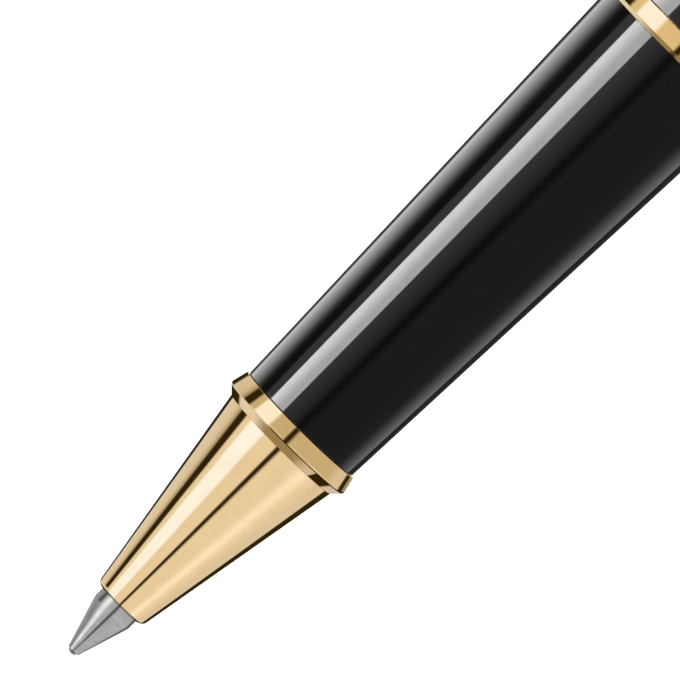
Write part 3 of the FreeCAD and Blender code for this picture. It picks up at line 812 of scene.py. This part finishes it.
def extruded(name, outline, start, end, rounding):
    """A solid drawn out along -Y from an outline, its far edges rounded."""
    steps = 6
    loops = [[(point.real, -start, point.imag) for point, *_ in outline]]
    wear = [0.0] * len(outline)
    for step in range(steps + 1):
        angle = math.pi / 2 * step / steps
        inset = rounding * (1 - math.cos(angle))
        along = -(end - rounding + rounding * math.sin(angle))
        loops.append([
            ((point - normal * inset).real, along, (point - normal * inset).imag)
            for point, normal, _ in outline
        ])
        wear += [1.0 if step else 0.0] * len(outline)
    return skinned(name, loops, wear)


def superellipse(half_width, near, far, height, count=56, power=3.2):
    """A level loop between two distances in front of the axis."""
    middle, half_depth = (near + far) / 2, (far - near) / 2
    loop = []
    for index in range(count):
        angle = 2 * math.pi * index / count
        across = math.copysign(abs(math.cos(angle)) ** (2 / power), math.cos(angle))
        along = math.copysign(abs(math.sin(angle)) ** (2 / power), math.sin(angle))
        loop.append((half_width * across, half_depth * along - middle, height))
    return loop


def eased(start, end, count=14):
    """Heights that lie closest together at the start."""
    return [start + (end - start) * (1 - math.cos(math.pi / 2 * step / count)) for step in range(count)]


def clip():
    """Tapering sprung arm with a rounded foot, and a narrow root between the lug's cheeks."""
    end, top = ends("clip")
    pivot, knuckle, root_half = top - 0.62, 0.62, 1.05
    arm_top, foot, waist = pivot - 1.15, end + 2.6, end + 7.8
    thick, inner, foot_inner, root_distance = 0.75, 7.3, 6.53, 6.95
    tip_round, shoulder_round, least_half = 0.75, 0.45, 0.12
    stations = [end, end + 1.2, foot, end + 4.6, waist, end + 14, arm_top - 1, arm_top]
    nears = [foot_inner + lift for lift in (0.7, 0.28, 0, 0.12, 0.35, 0.45, 0.75)] + [inner]
    halves = [1.0, 1.04, 1.08, 1.13, 1.22, 1.34, 1.68, 1.7]
    tip_width, tip_depth = 0.25, 0.55
    arm_rows, root_rows, root_start, root_stop = 86, 24, 0.05, 0.02
    pivot_lean, top_clear, root_taper, least_depth = 0.12, 0.1, 0.25, 0.1
    heights = eased(end, end + tip_round)
    heights += list(np.linspace(end + tip_round, arm_top - shoulder_round, arm_rows)[:-1])
    heights += eased(arm_top, arm_top - shoulder_round)[::-1]
    near_curve = smooth_curve(stations, nears, heights)
    half_curve = smooth_curve(stations, halves, heights)
    loops = []
    for height, near, half in zip(heights, near_curve, half_curve):
        tip = min(1.0, (height - end) / tip_round)
        shoulder = min(1.0, (arm_top - height) / shoulder_round)
        full = math.sqrt(max(0.0, 1 - (1 - tip) ** 2))
        squared = math.sqrt(max(0.0, 1 - (1 - shoulder) ** 2))
        half_now = max(least_half, half * (tip_width + (1 - tip_width) * full))
        half_now = root_half + (half_now - root_half) * squared if shoulder < 1 else half_now
        depth = thick * (tip_depth + (1 - tip_depth) * full)
        middle = near + thick / 2
        loops.append(superellipse(half_now, middle - depth / 2, middle + depth / 2, float(height)))
    for height in np.linspace(arm_top + root_start, top - root_stop, root_rows):
        rise = height - pivot
        circle = math.sqrt(max(0.0, knuckle**2 - rise**2))
        fars = (inner + thick, inner + thick - pivot_lean, root_distance + top_clear)
        far = float(np.interp(height, (arm_top, pivot, top), fars))
        below = float(np.interp(height, (arm_top, pivot - knuckle), (inner, root_distance)))
        near = min(below, root_distance - circle) if abs(rise) < knuckle else below
        narrow = root_half - root_taper * max(0.0, (height - pivot) / knuckle) ** 3
        loops.append(superellipse(narrow, near, max(far, near + least_depth), float(height)))
    stand_for(skinned("clip_fine", loops), "clip", "clip", FINISHES["gold_plate"])


def smooth_curve(stations, values, places):
    """Smooth values through the stations, without overshoot."""
    stations, values, places = (np.array(numbers, float) for numbers in (stations, values, places))
    slopes = np.diff(values) / np.diff(stations)
    before, after = slopes[:-1], slopes[1:]
    same_way = before * after > 0
    total = np.where(same_way, before + after, 1)
    inner = np.where(same_way, 2 * before * after / total, 0)
    tangents = np.concatenate([[slopes[0]], inner, [slopes[-1]]])
    index = np.clip(np.searchsorted(stations, places) - 1, 0, len(slopes) - 1)
    gap = stations[index + 1] - stations[index]
    t = (places - stations[index]) / gap
    return (
        (2 * t**3 - 3 * t**2 + 1) * values[index]
        + (t**3 - 2 * t**2 + t) * gap * tangents[index]
        + (3 * t**2 - 2 * t**3) * values[index + 1]
        + (t**3 - t**2) * gap * tangents[index + 1]
    )


def crown_screw():
    """Cheese-head screw."""
    bottom, top = ends("crown_screw")
    head, head_length, stud = width("crown_screw"), 2.0, 1.6
    replace("crown_screw", [
        (0, bottom),
        (head, bottom, 0.3),
        (head, bottom + head_length, 0.08),
        (stud, bottom + head_length),
        (stud, top, 0.25),
        (0, top),
    ], AROUND_INSIDE)


def crown():
    bottom, top = ends("crown")
    radius, bore, shoulder, dome, inlay = width("crown"), 1.6, 2.6, 8.2, 2.4
    seat, stud_end = ends("crown_inlay")[0], ends("crown_screw")[1]
    replace("crown", [
        (bore, bottom),
        (radius, bottom, 0.12),
        (radius, bottom + shoulder, 4.0),
        *arc((radius, bottom + shoulder), (inlay, top), dome, steps=14),
        (inlay, top, 0.08),
        (inlay, seat),
        (0, seat),
        (0, stud_end),
        (bore, stud_end),
    ])


def crown_inlay():
    bottom, top = ends("crown_inlay")
    radius, rim = width("crown_inlay"), 0.6
    rise = top - bottom - rim
    dome = (radius**2 + rise**2) / (2 * rise)
    replace("crown_inlay", [
        (0, bottom),
        (radius, bottom),
        (radius, bottom + rim, 0.05),
        *arc((radius, bottom + rim), (0, top), dome, steps=12),
        (0, top),
    ])


def finish_carried_nodes():
    """Threads, liner and ball keep their CAD shapes and get full finishes."""
    for node in ("refill_ball", "thread_sleeve", "barrel_insert", "cap_liner"):
        slot = finish_of_node(node)
        frame["nodes"][node].material_slots[0].material = FINISHES[slot]


for build in (
    nose_cone, snap_ring, grip_section, joint_ring, barrel, tail_ring, tail_cap, refill_spring,
    refill_tip, refill_nose, refill_body, refill_end_plug, cap_lip_ring, cap_shell, cap_band,
    clip_ring, clip_lug, clip, crown_screw, crown, crown_inlay, finish_carried_nodes,
):
    build()
rod("ink_wick", 0.1)
rod("ink_reservoir", 0.4)


# Studio. Each kind of surface has its own tent, a sphere that only its reflections see, hung with
# a few soft cards round one plain studio. A card is given by where its edges show across the pen,
# from -1 at the left edge to 1 at the right, and by how soft each edge is.

TENT_RADII = {"dome": 2.6, "resin": 2.8, "steel": 3.0, "cone": 3.2, "trim": 3.4}
TENT_HEIGHT = 0.022
CAMERA_DISTANCE = 1.16
CAMERA_HEIGHT = 0.094
DOME_BRIGHTEST = 1.6
LEAST_LEVEL = 0.001
RIM_FADE = 0.93


def tone(brightness, coolness=0.0):
    """A card's light: warm below zero coolness, bluish above it."""
    return (brightness, brightness * (1 + 0.24 * coolness), brightness * (1 + 0.85 * coolness))


FLAG = tone(0.03, -1.0)
BLACK = (0.0, 0.0, 0.0)

# Spans of tilt over which one row of cards gives way to the next.
TOWARD_TOP = (0.62, 0.72)
BAND_LEAN = (0.10, 0.19)
CYLINDER_LEAN = (-0.20, -0.12)
EDGE_LEAN = (-0.28, -0.34)
BEVEL_LEAN = (-0.63, -0.67)
MOUTH_ROUND = (-0.38, -0.44)
MOUTH_FACE = (-0.68, -0.76)
DOME_LEAN = (0.25, 0.65)

STUDIO = {
    "left_side": (-0.94, -0.74, 0.02, 0.06),
    "left_shade": (-0.78, -0.68, 0.06, 0.02),
    "left_flag": (-0.74, -0.63, 0.02, 0.02),
    "key": (-0.54, -0.28, 0.02, 0.03),
    "gap": (-0.02, 0.06, 0.02, 0.03),
    "glow": (0.45, 0.60, 0.10, 0.10),
    "right_side": (0.75, 0.90, 0.05, 0.01),
}
LEFT_END = -0.95
RIGHT_END = 0.91
SIDE_SOFTNESS = 0.01


class Tent(Finish):
    """The light of one tent.

    A point of the tent is seen in a surface whose normal lies half way between the directions of that
    point and the camera. The light is laid out by that normal: how far across the pen it shows, and
    its tilt, which is 0 on upright surfaces, 1 on those facing up and -1 on those facing the tip.
    """

    def __init__(self, kind):
        super().__init__(kind + "_tent_light")
        self.kind = kind
        self.tree.nodes.remove(self.shader)
        geometry = self.add("ShaderNodeNewGeometry")
        away = self.vector("SUBTRACT", geometry.outputs["Position"], (0, 0, TENT_HEIGHT))
        away = self.vector("DIVIDE", away, (TENT_RADII[kind],) * 3)
        to_camera = Vector((0, -CAMERA_DISTANCE, CAMERA_HEIGHT - TENT_HEIGHT)).normalized()
        half_way = self.vector("ADD", away, tuple(to_camera))
        x, _, self.tilt = self.parts(self.vector("NORMALIZE", half_way, (0, 0, 0)))
        level = self.math("SQRT", self.math("SUBTRACT", 1.0, self.math("POWER", self.tilt, 2.0), clamp=True))
        self.across = self.math("DIVIDE", x, self.math("MAXIMUM", level, LEAST_LEVEL))

    def card(self, light, place, colour):
        """Light with one card of this colour hung over it."""
        start, stop, soft_start, soft_stop = place
        from_left = self.spread(self.across, start - soft_start, start + soft_start)
        to_right = self.spread(self.across, stop + soft_stop, stop - soft_stop)
        return self.mix(self.math("MULTIPLY", from_left, to_right), light, colour)

    def row(self, span, light, leaning):
        """Light that gives way to another over a span of tilt."""
        return self.mix(self.spread(self.tilt, *span), light, leaning)

    def between_flags(self, light):
        """Light shut in by a black flag at each side of the pen."""
        left = self.spread(self.across, LEFT_END - SIDE_SOFTNESS, LEFT_END + SIDE_SOFTNESS)
        right = self.spread(self.across, RIGHT_END + SIDE_SOFTNESS, RIGHT_END - SIDE_SOFTNESS)
        return self.mix(self.math("MULTIPLY", left, right), FLAG, light)

    def gold_row(self, room, key, sides, glow=None):
        """One row of the studio for polished gold."""
        light = self.card(room, STUDIO["left_side"], sides)
        light = self.card(light, STUDIO["right_side"], sides)
        light = self.card(light, STUDIO["key"], key)
        if glow:
            light = self.card(light, STUDIO["glow"], glow)
        light = self.card(light, STUDIO["left_shade"], tone(0.4, -0.3))
        light = self.card(light, STUDIO["left_flag"], FLAG)
        light = self.card(light, STUDIO["gap"], FLAG)
        return self.between_flags(light)

    def faded_at_rims(self, light, rise, rim):
        """Light that fades where the pen's side is seen at a glancing angle.

        The line back from the tent shows how high on the pen it was reflected and how far from the
        axis it passes; the fading sets in over a rise in height and over a rim of distances.
        """
        geometry = self.add("ShaderNodeNewGeometry")
        x, y, z = self.parts(geometry.outputs["Position"])
        back_x, back_y, back_z = self.parts(geometry.outputs["Incoming"])
        level = self.math("ADD", self.math("POWER", back_x, 2.0), self.math("POWER", back_y, 2.0))
        turn = self.math("SUBTRACT", self.math("MULTIPLY", x, back_y), self.math("MULTIPLY", y, back_x))
        offset = self.math("DIVIDE", self.math("ABSOLUTE", turn), self.math("SQRT", level))
        along = self.math("ADD", self.math("MULTIPLY", x, back_x), self.math("MULTIPLY", y, back_y))
        height = self.math("SUBTRACT", z, self.math("DIVIDE", self.math("MULTIPLY", along, back_z), level))
        fade = self.math("MULTIPLY", self.spread(height, *rise), self.spread(offset, *rim, 0.0, RIM_FADE))
        return self.mix(fade, light, BLACK)

    def hang(self, light, receivers):
        """A sphere with this light, seen only in the reflections of the receivers."""
        emission = self.add("ShaderNodeEmission")
        self.feed(emission.inputs["Color"], light)
        emission.inputs["Strength"].default_value = 1.0
        both = self.add("ShaderNodeAddShader")
        self.feed(both.inputs[0], emission.outputs[0])
        self.feed(both.inputs[1], self.add("ShaderNodeBsdfTransparent").outputs[0])
        output = self.tree.nodes["Material Output"]
        self.feed(output.inputs["Surface"], both.outputs[0])
        self.material.cycles.emission_sampling = "NONE"
        tent = tent_sphere(self.kind + "_tent", TENT_RADII[self.kind] / MM)
        tent.data.materials.append(self.material)
        tent.visible_camera = False
        tent.visible_diffuse = False
        tent.visible_shadow = False
        group = bpy.data.collections.new(self.kind + "_receivers")
        for piece in receivers:
            group.objects.link(piece)
        tent.light_linking.receiver_collection = group
        tent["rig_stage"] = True


def tent_sphere(name, radius, rows=24, columns=48):
    """A sphere round the pen, by latitude and longitude."""
    loops = []
    for row in range(1, rows):
        latitude = math.pi * (row / rows - 0.5)
        level = radius * math.cos(latitude)
        height = radius * math.sin(latitude) + TENT_HEIGHT / MM
        angles = [2 * math.pi * column / columns for column in range(columns)]
        loops.append([(level * math.cos(angle), level * math.sin(angle), height) for angle in angles])
    return skinned(name, loops)


def cone_tent(receivers):
    """Long cards for the nose cone, cut short at its rounded mouth."""
    tent = Tent("cone")
    over_left_flag = (-0.92, -0.58, 0.02, 0.02)
    light = tent.gold_row(tone(0.9), tone(1.1, 0.9), tone(0.8, 0.1), glow=tone(1.1, 0.3))
    light = tent.row(MOUTH_ROUND, light, tent.card(light, over_left_flag, tone(0.85)))
    light = tent.row(MOUTH_FACE, light, FLAG)
    light = tent.row(TOWARD_TOP, light, tone(0.9))
    tent.hang(light, receivers)


def bevel_row(tent):
    """Cards seen in a bevel that faces the tip: pale at the sides and brown in the middle."""
    left_side = (-0.80, -0.40, 0.03, 0.15)
    right_side = (0.35, 1.0, 0.15, 0.1)
    right_flag = (0.58, 0.82, 0.01, 0.02)
    left_flag = (-1.1, -0.82, 0.1, 0.02)
    light = tent.card(tone(0.35, -0.5), left_side, tone(0.85, 0.2))
    light = tent.card(light, right_side, tone(0.7))
    light = tent.card(light, right_flag, FLAG)
    return tent.card(light, left_flag, FLAG)


def trim_tent(receivers):
    """Cards for the rings and the cap's trim: a row for each way their faces lean."""
    tent = Tent("trim")
    fringe = (0.96, 1.1, 0.01, 0.01)
    pale_stop, flag_start = -0.35, -0.2
    light = tent.gold_row(tone(0.8, -0.35), tone(1.1, 0.7), tone(0.75), glow=tone(1.0, 0.1))
    band = tent.gold_row(tone(0.65, -0.3), tone(1.1, 0.5), tone(0.75))
    band = tent.card(band, fringe, tone(0.4, -0.5))
    light = tent.row(BAND_LEAN, light, band)
    edge = tent.mix(tent.spread(tent.across, pale_stop, flag_start), tone(0.8), FLAG)
    light = tent.row(EDGE_LEAN, light, edge)
    light = tent.row(BEVEL_LEAN, light, bevel_row(tent))
    light = tent.row(TOWARD_TOP, light, tone(0.9))
    tent.hang(light, receivers)


def steel_tent(receivers):
    """Cards for the satin tip, with a dark one that shows only beside its cylinder."""
    tent = Tent("steel")
    left_shade = (-0.90, -0.60, 0.08, 0.08)
    key = (-0.52, -0.32, 0.10, 0.10)
    gap = (-0.02, 0.10, 0.04, 0.04)
    right_edge = (0.88, 0.97, 0.04, 0.02)
    left_edge = (-1.1, -0.95, 0.02, 0.04)
    notch = (-0.78, -0.66, 0.03, 0.03)
    light = tent.card(tone(0.6), left_shade, tone(0.35))
    light = tent.card(light, key, tone(1.3))
    light = tent.card(light, gap, tone(0.05))
    light = tent.card(light, right_edge, tone(0.1))
    light = tent.card(light, left_edge, tone(0.15))
    light = tent.row(CYLINDER_LEAN, light, tent.card(light, notch, tone(0.1)))
    light = tent.row(TOWARD_TOP, light, tone(0.8))
    tent.hang(light, receivers)


def resin_tent(kind, receivers, brightest=None):
    """A strip light that fades to one side, an edge light and dim fills for the polished resin."""
    tent = Tent(kind)
    left_fill = (-0.97, -0.15, 0.01, 0.15)
    edge_light = (-0.96, -0.83, 0.01, 0.07)
    black_strip = (-0.77, -0.64, 0.05, 0.02)
    strip = (-0.54, -0.30, 0.006, 0.006)
    strip_core = (-0.54, -0.44, 0.006, 0.08)
    gap = (-0.03, 0.07, 0.04, 0.06)
    right_light = (0.82, 0.93, 0.08, 0.005)
    right_edge = (0.935, 1.1, 0.005, 0.01)
    left_edge = (-1.1, -0.975, 0.01, 0.01)
    rise, rim = (55 * MM, 75 * MM), (4.4 * MM, 5.9 * MM)
    light = tent.card(tone(0.2), left_fill, tone(0.7))
    light = tent.card(light, edge_light, tone(2.6))
    light = tent.card(light, black_strip, tone(0.05))
    light = tent.card(light, strip, tone(9.0))
    light = tent.card(light, strip_core, tone(15.0))
    light = tent.card(light, gap, tone(0.03))
    light = tent.card(light, right_light, tone(0.9))
    light = tent.card(light, right_edge, tone(0.06))
    light = tent.card(light, left_edge, tone(0.06))
    if brightest:
        light = tent.math("MINIMUM", light, brightest)
    light = tent.row(DOME_LEAN, light, tone(0.5))
    tent.hang(tent.faded_at_rims(light, rise, rim), receivers)


def pieces_with(*slots):
    """Every shown piece with one of these finishes."""
    chosen = []
    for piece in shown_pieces():
        if piece.type == "MESH" and piece.data.materials[0] in [FINISHES[slot] for slot in slots]:
            chosen.append(piece)
    return chosen


def hang_tents():
    cone = [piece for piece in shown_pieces() if piece.name == "nose_cone_fine"]
    domes = [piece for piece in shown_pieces() if piece.name in ("crown_fine", "tail_cap_fine")]
    resin = [piece for piece in pieces_with("black_resin") if piece not in domes]
    steel = pieces_with("tip_steel", "ball_carbide")
    rest = [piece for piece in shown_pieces() if piece not in cone + domes + resin + steel]
    cone_tent(cone)
    resin_tent("dome", domes, DOME_BRIGHTEST)
    resin_tent("resin", resin)
    steel_tent(steel)
    trim_tent(rest)


def floor():
    """A plain white sweep, bright enough to show only the faintest shadow."""
    size, white, glow = 4.0, (0.9, 0.9, 0.9), 0.35
    mesh = bpy.data.meshes.new("floor")
    corners = [(-size, -size, 0), (size, -size, 0), (size, size, 0), (-size, size, 0)]
    mesh.from_pydata(corners, [], [(0, 1, 2, 3)])
    piece = bpy.data.objects.new("floor", mesh)
    bpy.context.scene.collection.objects.link(piece)
    finish = Finish("floor_finish", Base_Color=white, Roughness=1.0)
    finish.set(Emission_Color=(1, 1, 1), Emission_Strength=glow, Specular_IOR_Level=0.0)
    finish.material.cycles.emission_sampling = "NONE"
    mesh.materials.append(finish.material)
    piece.visible_glossy = False
    piece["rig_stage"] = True


def world():
    """White to the eye and to matt surfaces, black in reflections, which see the tents instead."""
    studio = bpy.data.worlds.new("studio")
    bpy.context.scene.world = studio
    studio.use_nodes = True
    tree = studio.node_tree
    background = tree.nodes["Background"]
    path = tree.nodes.new("ShaderNodeLightPath")
    flip = tree.nodes.new("ShaderNodeMath")
    flip.operation = "SUBTRACT"
    flip.inputs[0].default_value = 1.0
    tree.links.new(path.outputs["Is Glossy Ray"], flip.inputs[1])
    tree.links.new(flip.outputs[0], background.inputs["Strength"])
    background.inputs["Color"].default_value = (1, 1, 1, 1)


def camera():
    """Looks almost level at the pen's front, turned so that the pen rises to the upper right."""
    frame_width = 0.03676
    rise = math.radians(44.896)
    target = Vector((-0.00174, 0, 0.0223))
    place = Vector((0, -CAMERA_DISTANCE, CAMERA_HEIGHT))
    data = bpy.data.cameras.new("camera")
    data.sensor_width = 36.0
    data.lens = data.sensor_width * (target - place).length / frame_width
    data.clip_start, data.clip_end = 0.05, 50.0
    away = (target - place).normalized()
    up = Vector((-math.cos(rise), 0, math.sin(rise)))
    right = away.cross(up).normalized()
    up = right.cross(away)
    view = bpy.data.objects.new("camera", data)
    turn = Matrix((right, up, -away)).transposed().to_4x4()
    view.matrix_world = Matrix.Translation(place) @ turn
    bpy.context.scene.collection.objects.link(view)
    bpy.context.scene.camera = view


hang_tents()
floor()
world()
camera()
bpy.context.scene.view_settings.view_transform = "Standard"
